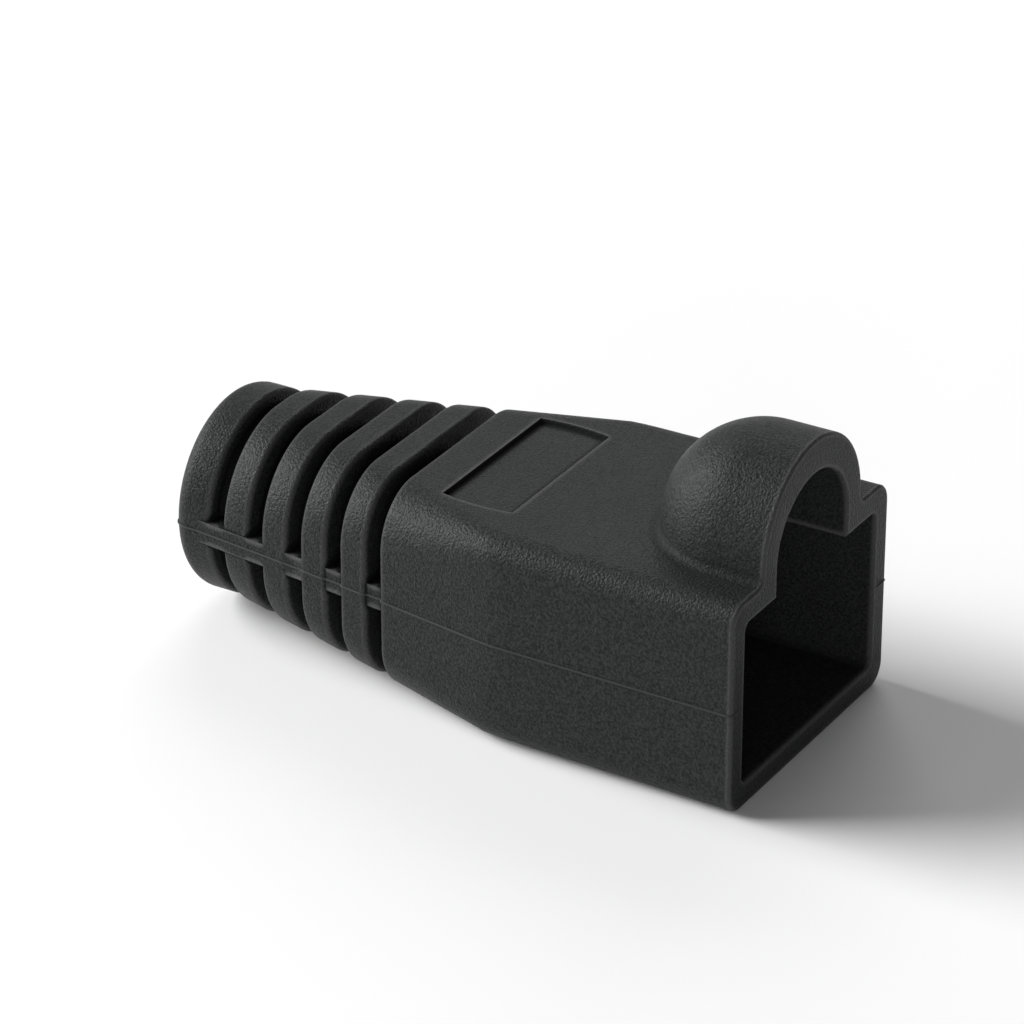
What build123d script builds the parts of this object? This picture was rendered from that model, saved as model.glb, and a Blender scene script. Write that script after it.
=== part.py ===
"""Strain relief boot for an RJ45 plug, moulded in one piece of soft black PVC.

The boot lies along X on its flat underside. Its mouth, at +X, slips over the back of the plug. A hollow
bubble on top covers the plug's latch. At -X a ribbed neck ends in a round collar, where the cable leaves.
The parting plane of the mould and the axis of the cable are both at half the hood's height.
"""

import os

from build123d import *

# Hood: a rounded rectangle in section, straight from the mouth to a soft bend and tapered behind it.
hood_width = 14.0
hood_height = 10.0
wall = 1.15
straight_length = 11.8
taper_length = 6.1
bend_blend = 0.6
mouth_corner = 1.0
bend_corner = 1.3
shoulder_corner = 2.7
shoulder_width = 12.2
rim_round = 0.15

# Inside of the hood: the plug stops on a ledge, and a funnel leads the cable to a small step at its bore.
plug_depth = 10.6
pocket_corner = 0.4
ledge = 0.5
funnel_corner = 2.0
funnel_length = 6.2
throat_step = 0.1

# Neck: a thin core tube inside ribs that are parted by grooves, and a round collar at its end.
cable_bore = 6.5
bore_round = 0.3
core_wall = 0.7
groove_count = 5
groove_width = 0.82
rib_width = 1.43
rib_round = 0.2
side_spine = 1.1
under_spine = 0.8
spine_setback = 0.04
collar_diameter = 9.6
collar_width = 2.0
collar_round = 0.8

# Latch bubble: an arch at the mouth, closed behind by a half dome.
bubble_width = 8.8
bubble_rise = 4.9
bubble_wall = 1.25
bubble_crown = 1.6
bubble_straight = 2.4
bubble_foot = 0.4

# Shallow panels: the one on top has bowed ends, the one underneath is a plain rectangle.
panel_length = 3.4
panel_width = 8.2
panel_depth = 0.2
panel_slope = 15
panel_bow = 0.15
panel_setback = 2.1

# Lengths and places that follow from the sizes.
groove_pitch = groove_width + rib_width
neck_length = groove_count * groove_pitch - rib_width
boot_length = straight_length + taper_length + neck_length + collar_width
mouth_x = boot_length / 2
bend_x = mouth_x - straight_length
shoulder_x = bend_x - taper_length
neck_end_x = shoulder_x - neck_length
collar_end_x = neck_end_x - collar_width
ledge_x = mouth_x - plug_depth
throat_x = ledge_x - funnel_length
throat_width = cable_bore + 2 * throat_step
panel_x = shoulder_x + panel_setback + panel_length / 2
axis_height = hood_height / 2
bend_sag = bend_blend * (hood_width - shoulder_width) / taper_length / 8
collar_radius = collar_diameter / 2
bore_radius = cable_bore / 2
core_radius = bore_radius + core_wall
pocket_width = hood_width - 2 * wall
pocket_height = hood_height - 2 * wall
bubble_radius = bubble_width / 2
hollow_radius = bubble_radius - bubble_wall
bubble_centre_x = mouth_x - bubble_straight
bubble_top_z = hood_height + bubble_rise
bubble_centre_z = bubble_top_z - bubble_radius
hollow_centre_z = bubble_top_z - bubble_crown - hollow_radius

# Cuts and overlaps reach this far past the face they cross, and a hair is the play in picking an edge.
clear = 1.0
hair = 0.02


def across(x):
    """The plane across the boot at x, with its origin on the cable's axis and its normal to the mouth."""
    return Plane(origin=(x, 0, axis_height), x_dir=(0, 1, 0), z_dir=(1, 0, 0))


def rounded(width, height, corner):
    """A section with four corners. A round one keeps a hair of each side, so that sections pair up."""
    return RectangleRounded(width, height, min(corner, min(width, height) / 2 - hair))


# Hood: the bend in its sides is blended by one more section on either side of it.
with BuildPart() as hood:
    with BuildSketch(across(mouth_x)):
        rounded(hood_width, hood_height, mouth_corner)
    for along, inward in ((bend_blend, 0), (0, bend_sag), (-bend_blend, 4 * bend_sag)):
        with BuildSketch(across(bend_x + along)):
            rounded(hood_width - 2 * inward, hood_height, bend_corner)
    with BuildSketch(across(shoulder_x)):
        rounded(shoulder_width, hood_height, shoulder_corner)
    loft(ruled=True)
    shoulder_face = hood.faces().sort_by(Axis.X)[0]
    fillet(shoulder_face.edges(), rib_round)

# Outer form of the neck, from the end of the hood to the round collar.
with BuildPart() as neck:
    with BuildSketch(across(shoulder_x)):
        rounded(shoulder_width, hood_height, shoulder_corner)
    with BuildSketch(across(neck_end_x)):
        rounded(collar_diameter, collar_diameter, collar_radius)
    loft(ruled=True)


def rib(number):
    """One rib, counted from the hood: a slice of the neck's outer form with both its rims rounded."""
    middle = shoulder_x - (number + 1) * groove_pitch + rib_width / 2
    with BuildPart() as piece:
        add(neck.part)
        with Locations((middle, 0, axis_height)):
            Box(rib_width, hood_width, hood_height + clear, mode=Mode.INTERSECT)
        fillet(piece.faces().filter_by(Axis.X).edges(), rib_round)
    return piece.part


# Spines: narrow bars that join the ribs at both sides and underneath, a little lower than the ribs.
with BuildPart() as spines:
    with BuildSketch(across(shoulder_x + clear)):
        rounded(shoulder_width - 2 * spine_setback, hood_height - 2 * spine_setback, shoulder_corner)
    with BuildSketch(across(neck_end_x - clear)):
        end_width = collar_diameter - 2 * spine_setback
        rounded(end_width, end_width, collar_radius)
    loft(ruled=True)
    with BuildSketch(across(shoulder_x + clear)):
        Rectangle(hood_width, side_spine)
        Rectangle(under_spine, hood_height, align=(Align.CENTER, Align.MAX))
    extrude(amount=-boot_length, mode=Mode.INTERSECT)

# Collar, and the core tube that runs from it into the hood.
with BuildPart() as collar:
    with BuildSketch(across(collar_end_x)):
        Circle(collar_radius)
    extrude(amount=collar_width)
    collar_rims = collar.edges().sort_by(Axis.X)
    fillet(collar_rims[0], collar_round)
    fillet(collar.edges().sort_by(Axis.X)[-1], rib_round)
    with BuildSketch(across(neck_end_x - collar_width / 2)):
        Circle(core_radius)
    extrude(amount=collar_width / 2 + neck_length + clear)


def bubble_form(radius, centre_z, foot_z, front_x):
    """An arch along X from the mouth, closed by a half dome, on legs that reach down to foot_z."""
    legs = centre_z - foot_z
    arch_plane = Plane(origin=(bubble_centre_x, 0, centre_z), x_dir=(0, 1, 0), z_dir=(1, 0, 0))
    with BuildSketch(mode=Mode.PRIVATE) as half_arch:
        Circle(radius)
        Rectangle(radius, radius, align=(Align.MIN, Align.MIN), mode=Mode.INTERSECT)
        Rectangle(radius, legs, align=(Align.MIN, Align.MAX))
    with BuildPart() as form:
        with BuildSketch(arch_plane):
            add(half_arch.sketch)
            mirror(about=Plane.YZ)
        extrude(amount=front_x - bubble_centre_x)
        with BuildSketch(arch_plane):
            add(half_arch.sketch)
        revolve(axis=Axis((bubble_centre_x, 0, 0), (0, 0, 1)), revolution_arc=180)
    return form.part


# Room for the plug, its latch and the cable: pocket, hollow of the bubble, funnel and bore.
with BuildPart() as cavity:
    with BuildSketch(across(ledge_x)):
        RectangleRounded(pocket_width, pocket_height, pocket_corner)
    extrude(amount=plug_depth + clear)
    add(bubble_form(hollow_radius, hollow_centre_z, axis_height, mouth_x + clear))
    with BuildSketch(across(ledge_x + hair)):
        RectangleRounded(pocket_width - 2 * ledge, pocket_height - 2 * ledge, funnel_corner)
    with BuildSketch(across(throat_x)):
        rounded(throat_width, throat_width, throat_width / 2)
    loft(ruled=True)
    with BuildSketch(across(collar_end_x - clear)):
        Circle(bore_radius)
    extrude(amount=throat_x + hair - collar_end_x + clear)

# Recesses of the two panels.
with BuildPart() as panels:
    with BuildSketch(Plane.XY.offset(hood_height - panel_depth)):
        with BuildLine():
            front_x = panel_x + panel_length / 2
            back_x = panel_x - panel_length / 2
            side_y = panel_width / 2
            Line((front_x, -side_y), (front_x, side_y))
            ThreePointArc((front_x, side_y), (panel_x, side_y + panel_bow), (back_x, side_y))
            Line((back_x, side_y), (back_x, -side_y))
            ThreePointArc((back_x, -side_y), (panel_x, -side_y - panel_bow), (front_x, -side_y))
        make_face()
    extrude(amount=clear, taper=-panel_slope)
    with BuildSketch(Plane.XY.offset(panel_depth)):
        with Locations((panel_x, 0)):
            Rectangle(panel_length, panel_width)
    extrude(amount=-clear, taper=-panel_slope)

with BuildPart() as boot:
    add(hood.part)
    add(bubble_form(bubble_radius, bubble_centre_z, hood_height - wall / 2, mouth_x))
    foot_edges = (
        boot.edges()
        .filter_by_position(Axis.Z, hood_height - hair, hood_height + hair)
        .filter_by_position(Axis.X, bubble_centre_x - bubble_radius - hair, mouth_x)
        .filter_by_position(Axis.Y, -bubble_radius - hair, bubble_radius + hair)
    )
    fillet(foot_edges, min(bubble_foot, bubble_centre_z - hood_height - hair))
    for number in range(groove_count - 1):
        add(rib(number))
    add(spines.part)
    add(collar.part)
    add(cavity.part, mode=Mode.SUBTRACT)
    add(panels.part, mode=Mode.SUBTRACT)
    mouth_rim = boot.faces().sort_by(Axis.X)[-1]
    fillet(mouth_rim.edges(), rim_round)
    collar_face = boot.faces().sort_by(Axis.X)[0]
    fillet(collar_face.edges().sort_by(SortBy.LENGTH)[0], bore_round)

os.makedirs("parts", exist_ok=True)
boot.part.label = "boot"
export_step(boot.part, "parts/boot.step")
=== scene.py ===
# %% [markdown]
# # A strain relief boot for a network plug
#
# The real thing is a soft black sleeve, one moulding of PVC about 30 mm long. The exact shape comes from
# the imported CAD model. This script gives it what a drawing leaves out: smooth shading, the thin flash where
# the two halves of the mould met, the grain of the mould's surface, and the light of a studio.

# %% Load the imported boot
import math

import bpy
import numpy as np
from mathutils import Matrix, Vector


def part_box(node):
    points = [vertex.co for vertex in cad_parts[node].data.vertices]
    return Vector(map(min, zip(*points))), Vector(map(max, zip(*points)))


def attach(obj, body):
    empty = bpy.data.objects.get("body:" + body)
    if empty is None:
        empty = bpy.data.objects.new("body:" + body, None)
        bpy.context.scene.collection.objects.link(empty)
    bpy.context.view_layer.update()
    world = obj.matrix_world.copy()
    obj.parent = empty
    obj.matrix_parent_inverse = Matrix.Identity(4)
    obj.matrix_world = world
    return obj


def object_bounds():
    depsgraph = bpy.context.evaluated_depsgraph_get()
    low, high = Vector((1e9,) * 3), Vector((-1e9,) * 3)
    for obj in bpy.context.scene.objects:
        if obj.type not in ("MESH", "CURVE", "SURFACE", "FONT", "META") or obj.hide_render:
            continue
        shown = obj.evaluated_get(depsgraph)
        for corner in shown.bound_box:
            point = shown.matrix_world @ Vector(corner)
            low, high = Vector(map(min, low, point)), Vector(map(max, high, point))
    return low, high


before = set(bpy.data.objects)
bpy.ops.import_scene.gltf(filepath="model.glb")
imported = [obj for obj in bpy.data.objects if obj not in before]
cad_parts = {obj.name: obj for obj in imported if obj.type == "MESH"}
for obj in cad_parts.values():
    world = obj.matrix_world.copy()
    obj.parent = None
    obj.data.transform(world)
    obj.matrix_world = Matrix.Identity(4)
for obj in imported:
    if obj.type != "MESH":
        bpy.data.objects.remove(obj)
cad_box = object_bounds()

MILLIMETRE = 0.001
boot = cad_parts["boot"]
print("CAD box in mm:", [[round(v / MILLIMETRE, 2) for v in corner] for corner in cad_box])

# %% [markdown]
# ## A helper for nodes and one for colours
#
# Shading and materials in Blender are trees of nodes. Adding each node by hand takes four or five lines,
# which hides the idea of the tree. One small function adds a node, sets it up and links it, so that one call
# reads as one step. Colours are picked on a screen, so they are sRGB codes, but Blender calculates with
# linear light. A second function makes that change in one place.

# %% Node and colour helpers


def node(tree, kind, settings=None, links=None, **values):
    """Adds a node of a kind, sets its settings and socket values, and links its inputs to other outputs.

    A value's name is the name of its socket, with underscores for spaces.
    """
    made = tree.nodes.new(kind)
    for name, value in (settings or {}).items():
        setattr(made, name, value)
    for name, value in values.items():
        made.inputs[name.replace("_", " ")].default_value = value
    for name, (source, output) in (links or {}).items():
        tree.links.new(source.outputs[output], made.inputs[name])
    return made


def linear(code):
    """An sRGB hex colour as linear red, green, blue and alpha.

    Dark values are divided by 12.92, and the others follow a power curve of 2.4.
    """
    srgb = np.array([int(code[i:i + 2], 16) for i in (1, 3, 5)]) / 255
    low = srgb / 12.92
    high = ((srgb + 0.055) / 1.055) ** 2.4
    return (*np.where(srgb <= 0.04045, low, high).tolist(), 1.0)


print("middle grey is", round(linear("#808080")[0], 3), "in linear light")

# %% [markdown]
# ## Smooth shading
#
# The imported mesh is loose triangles, so each one shades flat. One could turn on smooth shading everywhere,
# but then the large flat sides would pick up a false shine from the small rounds along their edges. So the
# doubles are welded first, creases sharper than 38 degrees stay sharp, and the normals are weighted by the
# area of the faces, which keeps flat sides flat. All three are modifiers, and the vertices stay as packed.

# %% Weld, shade smooth by angle, weight the normals
SHARP_TURN = math.radians(38)
WELD = 0.002 * MILLIMETRE
LARGE_FACES_FIRST = 80


def smooth_by_angle(angle):
    """A node group that shades faces smooth, but keeps an edge sharp if it turns by more than the angle."""
    group = bpy.data.node_groups.new("smooth_by_angle", "GeometryNodeTree")
    for way in ("INPUT", "OUTPUT"):
        group.interface.new_socket("Geometry", in_out=way, socket_type="NodeSocketGeometry")
    start = node(group, "NodeGroupInput")
    turn = node(group, "GeometryNodeInputMeshEdgeAngle")
    compare = {"data_type": "FLOAT", "operation": "LESS_EQUAL"}
    gentle = node(group, "FunctionNodeCompare", compare, {"A": (turn, "Unsigned Angle")}, B=angle)
    faces = node(group, "GeometryNodeSetShadeSmooth", {"domain": "FACE"}, {"Geometry": (start, 0)})
    inputs = {"Geometry": (faces, "Geometry"), "Shade Smooth": (gentle, "Result")}
    edges = node(group, "GeometryNodeSetShadeSmooth", {"domain": "EDGE"}, inputs)
    node(group, "NodeGroupOutput", links={0: (edges, "Geometry")})
    return group


weld = boot.modifiers.new("weld", "WELD")
weld.merge_threshold = WELD
creases = boot.modifiers.new("creases", "NODES")
creases.node_group = smooth_by_angle(SHARP_TURN)
weighted = boot.modifiers.new("weighted", "WEIGHTED_NORMAL")
weighted.keep_sharp = True
weighted.weight = LARGE_FACES_FIRST
print("boot has the modifiers", [modifier.name for modifier in boot.modifiers])

# %% [markdown]
# ## The grain of a spark-eroded mould
#
# The moulds of such boots are cut by sparks, which leave a fine even field of tiny pits in the steel, and
# so a fine grain on the part. It breaks the shine up into small sparkles wherever the light grazes the
# surface. An image of real grain would do, but it would need unwrapping and would stretch. Noise in the
# part's own coordinates has one size everywhere. A quarter of round cells is mixed in, because sparks leave
# round marks. The real grain is about 0.06 mm. It is drawn at 0.11 mm, because a finer one would vanish in
# the render.

# %% Grain, as a tone and as a relief
GRAIN = 0.11 * MILLIMETRE
ROUND_MARKS = 1.25 * GRAIN
ROUND_SHARE = 0.25
MIDDLE_TONES = (0.32, 0.68)


def spark_grain(tree, place, relief_share):
    """Fine noise as a tone from 0 to 1, and the noise mixed with round cells as a bump.

    The tone stretches the noise's middle values to the full range. The relief is relief_share times as high
    as one grain is wide.
    """
    noise = node(tree, "ShaderNodeTexNoise", links=place, Scale=1 / GRAIN, Detail=1.0, Roughness=0.75)
    cells = node(tree, "ShaderNodeTexVoronoi", {"feature": "F1"}, place, Scale=1 / ROUND_MARKS)
    both = {"A": (noise, "Fac"), "B": (cells, "Distance")}
    relief = node(tree, "ShaderNodeMix", {"data_type": "FLOAT"}, both, Factor=ROUND_SHARE)
    height = {"Height": (relief, "Result")}
    bump = node(tree, "ShaderNodeBump", links=height, Strength=1.0, Distance=relief_share * GRAIN)
    low, high = MIDDLE_TONES
    tone = node(tree, "ShaderNodeMapRange", links={"Value": (noise, "Fac")}, From_Min=low, From_Max=high)
    return tone, bump


print("grain in mm:", round(GRAIN / MILLIMETRE, 3), "and round marks:", round(ROUND_MARKS / MILLIMETRE, 3))

# %% [markdown]
# ## Painted highlights on rims and painted shade in creases
#
# Rims are painted a little paler, as a painted highlight for the light that their small rounds catch. Creases
# are painted darker, as painted shade, and made rougher, so that they shine less. Both could be painted by
# hand, but short test rays find them wherever the shape changes. A ray that starts at the surface and goes
# into the part soon leaves it again only at a rim. One that goes out soon meets the part only in a crease.
# The rays for creases are as short as the radius of the fillet at the bubble's foot. Longer ones would
# darken the faces beside a fillet more than the fillet itself.

# %% Masks for the rims and the creases
RIM_REACH = 0.28 * MILLIMETRE
CREASE_REACH = 0.4 * MILLIMETRE
RAYS = 16
RIM_OPENNESS = (0.975, 0.78)
CREASE_OPENNESS = (0.98, 0.86)


def near_shape(tree, inside, reach, openness):
    """A mask from the share of test rays that run free for the length of reach.

    It is 0 where that share is above the first value of openness and 1 where it is below the second.
    """
    rays = {"samples": RAYS, "inside": inside, "only_local": True}
    free = node(tree, "ShaderNodeAmbientOcclusion", rays, Distance=reach)
    first, second = openness
    return node(tree, "ShaderNodeMapRange", links={"Value": (free, "AO")}, From_Min=first, From_Max=second)


print("reach in mm for rims and creases:", [round(v / MILLIMETRE, 2) for v in (RIM_REACH, CREASE_REACH)])

# %% [markdown]
# ## Soft PVC
#
# Plasticised PVC with carbon black is charcoal rather than black, with a soft sheen. A plain dark colour
# would look like painted card, so the grain adds its part, the rims get a painted highlight and the creases
# painted shade, and slow clouds of a few millimetres vary the gloss as uneven cooling does. PVC bends light
# with an index of 1.53. Its specular level is far below the usual 0.5, because the walls of the tiny pits
# shade most of the shine, and drawn grain can't do that.

# %% Material of the boot
CLOUDS = 4 * MILLIMETRE
GLOSS = (0.39, 0.50)
DULL = 0.8
PVC_IOR = 1.53
PITTED = 0.09
RELIEF = 0.55


def moulded_soft_pvc(name, dark, pale, rim_highlight, relief_share):
    """Charcoal PVC, whose grain runs from the dark to the pale colour.

    The rims take the third colour as a painted highlight. The roughness follows the clouds within GLOSS and
    rises to DULL in the creases, which also take the dark colour as painted shade.
    """
    material = bpy.data.materials.new(name)
    material.use_nodes = True
    tree = material.node_tree
    tree.nodes.clear()
    place = {"Vector": (node(tree, "ShaderNodeTexCoord"), "Object")}
    tone, bump = spark_grain(tree, place, relief_share)
    rim = near_shape(tree, True, RIM_REACH, RIM_OPENNESS)
    crease = near_shape(tree, False, CREASE_REACH, CREASE_OPENNESS)
    colour = {"data_type": "RGBA"}
    dark, pale, rim_highlight = linear(dark), linear(pale), linear(rim_highlight)
    body = node(tree, "ShaderNodeMix", colour, {"Factor": (tone, "Result")}, A=dark, B=pale)
    # Paler rims: the third colour is a painted highlight.
    at_rims = {"Factor": (rim, "Result"), "A": (body, "Result")}
    with_rim_highlights = node(tree, "ShaderNodeMix", colour, at_rims, B=rim_highlight)
    # Darker creases: the dark colour is painted shade there.
    in_creases = {"Factor": (crease, "Result"), "A": (with_rim_highlights, "Result")}
    shaded = node(tree, "ShaderNodeMix", colour, in_creases, B=dark)
    clouds = node(tree, "ShaderNodeTexNoise", links=place, Scale=1 / CLOUDS, Detail=4.0, Roughness=0.55)
    low, high = GLOSS
    gloss = node(tree, "ShaderNodeMapRange", links={"Value": (clouds, "Fac")}, To_Min=low, To_Max=high)
    dulled = {"Factor": (crease, "Result"), "A": (gloss, "Result")}
    rough = node(tree, "ShaderNodeMix", {"data_type": "FLOAT"}, dulled, B=DULL)
    surface = {"Base Color": (shaded, "Result"), "Roughness": (rough, "Result"), "Normal": (bump, "Normal")}
    shader = node(tree, "ShaderNodeBsdfPrincipled", links=surface, IOR=PVC_IOR, Specular_IOR_Level=PITTED)
    node(tree, "ShaderNodeOutputMaterial", links={"Surface": (shader, "BSDF")})
    return material


# The third colour, #484948, is the painted highlight on the rims.
pvc = moulded_soft_pvc("spark_eroded_soft_pvc", "#191a1a", "#323333", "#484948", RELIEF)
for slot in boot.material_slots:
    slot.material = pvc
print("boot has", len(boot.material_slots), "material slot with", len(pvc.node_tree.nodes), "nodes")

# %% [markdown]
# ## Reading the outline of the boot
#
# The mould's two halves met at half the hood's height. To lay the flash on the surface there, its path has
# to be the real outline. It could be typed in again from the drawing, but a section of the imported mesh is
# exact and stays right when the boot changes. The section is taken a hair above the parting height, because
# a row of the mesh's own corners lies right on it.

# %% Half width of the boot at one height
PARTING_HEIGHT = 5 * MILLIMETRE
ABOVE_PARTING = 0.003 * MILLIMETRE
NO_LENGTH = 1e-12


def crossing_segments(piece, height):
    """The segments in which the piece's triangles cross a level plane, each from low X to high X.

    A triangle's side crosses the plane where its two ends lie on different sides of it, at the share of the
    side given by linear interpolation of the height.
    """
    mesh = piece.data
    mesh.calc_loop_triangles()
    corners = np.empty(3 * len(mesh.loop_triangles), int)
    mesh.loop_triangles.foreach_get("vertices", corners)
    places = np.empty(3 * len(mesh.vertices))
    mesh.vertices.foreach_get("co", places)
    triangles = places.reshape(-1, 3)[corners].reshape(-1, 3, 3)
    above = triangles[:, :, 2] > height
    start = triangles[above.any(1) & ~above.all(1)]
    end = np.roll(start, -1, axis=1)
    rise = end[:, :, 2] - start[:, :, 2]
    share = (height - start[:, :, 2]) / np.where(rise == 0, 1, rise)
    crosses = (start[:, :, 2] > height) != (end[:, :, 2] > height)
    hits = (start + share[:, :, None] * (end - start))[crosses].reshape(-1, 2, 3)
    order = np.argsort(hits[:, :, 0], axis=1)
    return np.take_along_axis(hits, order[:, :, None], axis=1)


def half_widths(segments, stations):
    """The largest sideways distance of the segments from the middle plane, at each station along X.

    At a station each segment is read by linear interpolation between its ends, and the widest one is kept.
    A segment straight across the boot is given a length of NO_LENGTH, so that nothing is divided by zero.
    """
    x0, x1 = segments[:, 0, 0], segments[:, 1, 0]
    y0, y1 = np.abs(segments[:, 0, 1]), np.abs(segments[:, 1, 1])
    part = (stations[:, None] - x0) / np.maximum(x1 - x0, NO_LENGTH)
    read = y0 + part * (y1 - y0)
    return np.where((part >= 0) & (part <= 1), read, 0).max(axis=1)


segments = crossing_segments(boot, PARTING_HEIGHT + ABOVE_PARTING)
print("the parting plane crosses", len(segments), "triangles")

# %% Stations along the boot, closer together near its ends
PATH_STEPS = 560
NEAR_END = 0.004 * MILLIMETRE
CROWDING = 0.35

low, high = (np.array(corner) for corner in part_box("boot"))
turn = np.linspace(0, np.pi, PATH_STEPS)
even = np.linspace(-1, 1, PATH_STEPS)
share_of_length = (CROWDING * -np.cos(turn) + (1 - CROWDING) * even) / 2 + 0.5
stations = low[0] + NEAR_END + (high[0] - low[0] - 2 * NEAR_END) * share_of_length
widths = half_widths(segments, stations)
print("half widths in mm:", round(widths.min() / MILLIMETRE, 2), "to", round(widths.max() / MILLIMETRE, 2))

# %% [markdown]
# ## Flash along the parting line
#
# A little plastic creeps into the gap between the mould's halves and leaves a fine ridge, which catches the
# light as a pale line. It runs along both sides, over the spines between the ribs, across the rim of the
# mouth and across the end of the collar. Bump could fake it, but then it would vanish at the outline and
# from the meshes. It is a profile carried along a path: a small ellipse on the outline. It has hardly any
# grain, because it never touched the eroded steel. Its colours are a little paler than the boot's, as a
# painted highlight for the light the thin ridge catches.

# %% A closed ridge along a path
FLASH_SIDES = 8
TIP_STEEPNESS = 12


def mesh_piece(name, points, quads, material):
    """A smooth mesh object at the origin from an array of points and an array of quads."""
    mesh = bpy.data.meshes.new(name)
    mesh.from_pydata(points.reshape(-1, 3), [], quads)
    mesh.polygons.foreach_set("use_smooth", np.ones(len(mesh.polygons), bool))
    mesh.materials.append(material)
    mesh.update()
    made = bpy.data.objects.new(name, mesh)
    bpy.context.scene.collection.objects.link(made)
    return made


def ridge(path, outward, half_width, height, sides):
    """Points and quads of a closed ridge along a path in a level plane.

    Around the path goes an ellipse, half_width up and down and height along the outward normal. Its size is
    the square root of TIP_STEEPNESS sin(pi s), but at most 1, so that each end closes in a point.
    """
    steps = len(path)
    length = np.linspace(0, 1, steps)
    swell = np.minimum(1, np.sqrt(np.maximum(0, np.sin(np.pi * length)) * TIP_STEEPNESS))
    angle = np.linspace(0, 2 * np.pi, sides, endpoint=False)
    up = np.array([0, 0, 1.0])
    sideways = height * np.cos(angle)[None, :, None] * outward[:, None, :]
    upward = half_width * np.sin(angle)[None, :, None] * up
    points = path[:, None, :] + swell[:, None, None] * (sideways + upward)
    index = np.arange(steps * sides).reshape(steps, sides)
    beside = np.roll(index, -1, axis=1)
    quads = np.stack([index[:-1], beside[:-1], beside[1:], index[1:]], axis=-1).reshape(-1, 4)
    return points, quads


print("the ridge's profile has", FLASH_SIDES, "sides")

# %% Two ridges of flash
FLASH_HALF_WIDTH = 0.05 * MILLIMETRE
FLASH_HEIGHT = 0.06 * MILLIMETRE
RIM_WALL = 0.8 * MILLIMETRE
COLLAR_WALL = 0.6 * MILLIMETRE
END_STEPS = 11
FLASH_RELIEF = 0.1


def parting_path(side):
    """The outline on one side: in over the collar's end, along the boot and in over the rim of the mouth.

    The outward normal at a point is the path's direction, turned by a right angle away from the middle.
    """
    inward_end = np.linspace(widths[0] - COLLAR_WALL, widths[0], END_STEPS + 1)[:-1]
    inward_rim = np.linspace(widths[-1], widths[-1] - RIM_WALL, END_STEPS + 1)[1:]
    x = np.concatenate([np.full(END_STEPS, low[0]), stations, np.full(END_STEPS, high[0])])
    y = np.concatenate([inward_end, widths, inward_rim])
    path = np.stack([x, side * y, np.full_like(x, PARTING_HEIGHT)], axis=-1)
    along = np.gradient(path, axis=0)
    along /= np.linalg.norm(along, axis=1, keepdims=True)
    outward = np.stack([-side * along[:, 1], side * along[:, 0], np.zeros(len(x))], axis=-1)
    return path, outward


# The two sides are mirror images, so on the left the faces are turned round to point outwards.
# The flash's colours are paler than the boot's: a painted highlight.
flash_pvc = moulded_soft_pvc("flash_of_soft_pvc", "#212222", "#393a3a", "#393a3a", FLASH_RELIEF)
for label, side in (("left", 1), ("right", -1)):
    path, outward = parting_path(side)
    points, quads = ridge(path, outward, FLASH_HALF_WIDTH, FLASH_HEIGHT, FLASH_SIDES)
    faces = quads if side < 0 else quads[:, ::-1]
    flash = mesh_piece("flash_" + label, points, faces, flash_pvc)
    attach(flash, "root")
    print(flash.name, "has", len(quads), "faces")

# %% [markdown]
# ## Floor
#
# Small parts are photographed on white paper. The boot stands on one large level sheet, so that no edge of
# the paper comes near the boot in any view. Matte paper gives back nearly all its light, which also
# brightens the boot's lower sides.

# %% Floor of white paper
FLOOR_HALF = 1.2
MATTE = 0.75

paper = bpy.data.materials.new("white_paper")
paper.use_nodes = True
paper_shader = paper.node_tree.nodes["Principled BSDF"]
paper_shader.inputs["Base Color"].default_value = linear("#f8f8f8")
paper_shader.inputs["Roughness"].default_value = MATTE
corners = FLOOR_HALF * np.array([[-1, -1, 0], [1, -1, 0], [1, 1, 0], [-1, 1, 0]])
floor = mesh_piece("floor", corners, np.array([[0, 1, 2, 3]]), paper)
print("the floor is", 2 * FLOOR_HALF, "m wide")

# %% [markdown]
# ## Camera
#
# The camera looks from the photograph's angle: from above, between the boot's side and its mouth, and from
# so near that the mouth looks larger than the neck. It could be turned by hand until it fits, but two angles
# and a distance say the same and are easy to read. The distance is in metres and the lens in millimetres.

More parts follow.
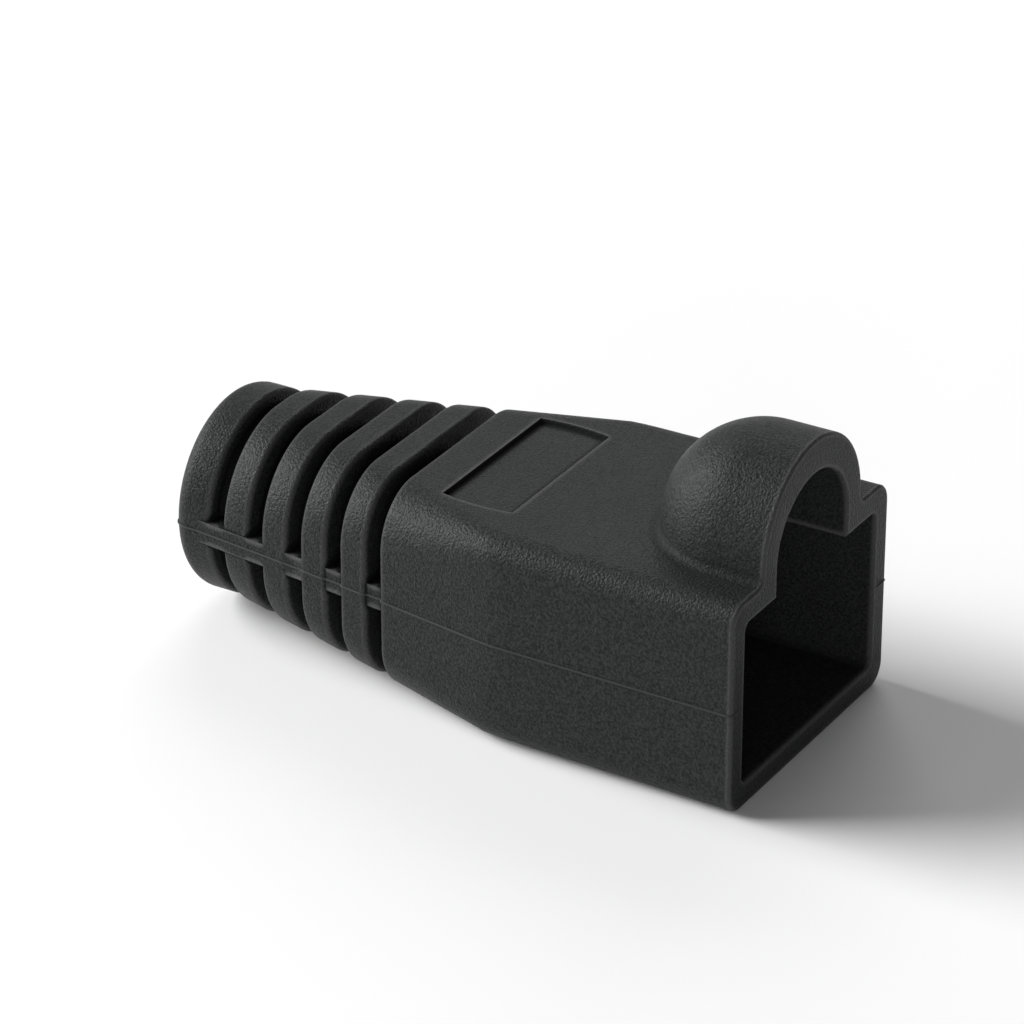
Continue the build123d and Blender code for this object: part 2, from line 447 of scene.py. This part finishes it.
# %% Camera at the photograph's angle
AZIMUTH = math.radians(31)
ELEVATION = math.radians(28)
DISTANCE = 0.222
LENS = 178
NEAREST = 0.01

centre = (cad_box[0] + cad_box[1]) / 2
back = Vector((
    math.sin(AZIMUTH) * math.cos(ELEVATION),
    -math.cos(AZIMUTH) * math.cos(ELEVATION),
    math.sin(ELEVATION),
))
camera = bpy.data.objects.new("camera", bpy.data.cameras.new("camera"))
camera.location = centre + DISTANCE * back
camera.rotation_euler = (-back).to_track_quat("-Z", "Y").to_euler()
camera.data.lens = LENS
camera.data.clip_start = NEAREST
bpy.context.scene.collection.objects.link(camera)
bpy.context.scene.camera = camera
print("the camera is at", [round(v, 3) for v in camera.location])

# %% [markdown]
# ## Light
#
# Black plastic shows its shape by its highlights, so each light has one task. The key stands low at the
# collar's end. It draws the highlights on the bubble and along the long edge, and leaves the sides darker
# than the top. The one behind is mirrored in the top, as a sheen. A weak one stands low under the camera, so
# that it reaches the inner wall of the mouth that the camera sees. All three are soft boxes, which blur the
# shadow, and a dim white room fills it in. Each has a place, the width of its square and a power in watts.

# %% Three soft boxes and a white room
LIGHTS = {
    "key": ((-1.06, -0.28, 0.58), 0.80, 29.0),
    "behind": ((-0.40, 0.96, 0.72), 0.80, 4.4),
    "mouth": ((0.30, -0.50, 0.10), 0.20, 0.7),
}
ROOM_LIGHT = 0.12

for name, (place, size, power) in LIGHTS.items():
    lamp = bpy.data.objects.new(name, bpy.data.lights.new(name, "AREA"))
    lamp.data.shape = "SQUARE"
    lamp.data.size = size
    lamp.data.energy = power
    lamp.location = place
    lamp.rotation_euler = (Vector(place) - centre).to_track_quat("Z", "Y").to_euler()
    bpy.context.scene.collection.objects.link(lamp)
    print(name, "is", round((Vector(place) - centre).length, 2), "m away")
room = bpy.data.worlds.new("white_room")
room.use_nodes = True
room.node_tree.nodes["Background"].inputs["Color"].default_value = linear("#ffffff")
room.node_tree.nodes["Background"].inputs["Strength"].default_value = ROOM_LIGHT
bpy.context.scene.world = room
bpy.context.scene.view_settings.view_transform = "Standard"
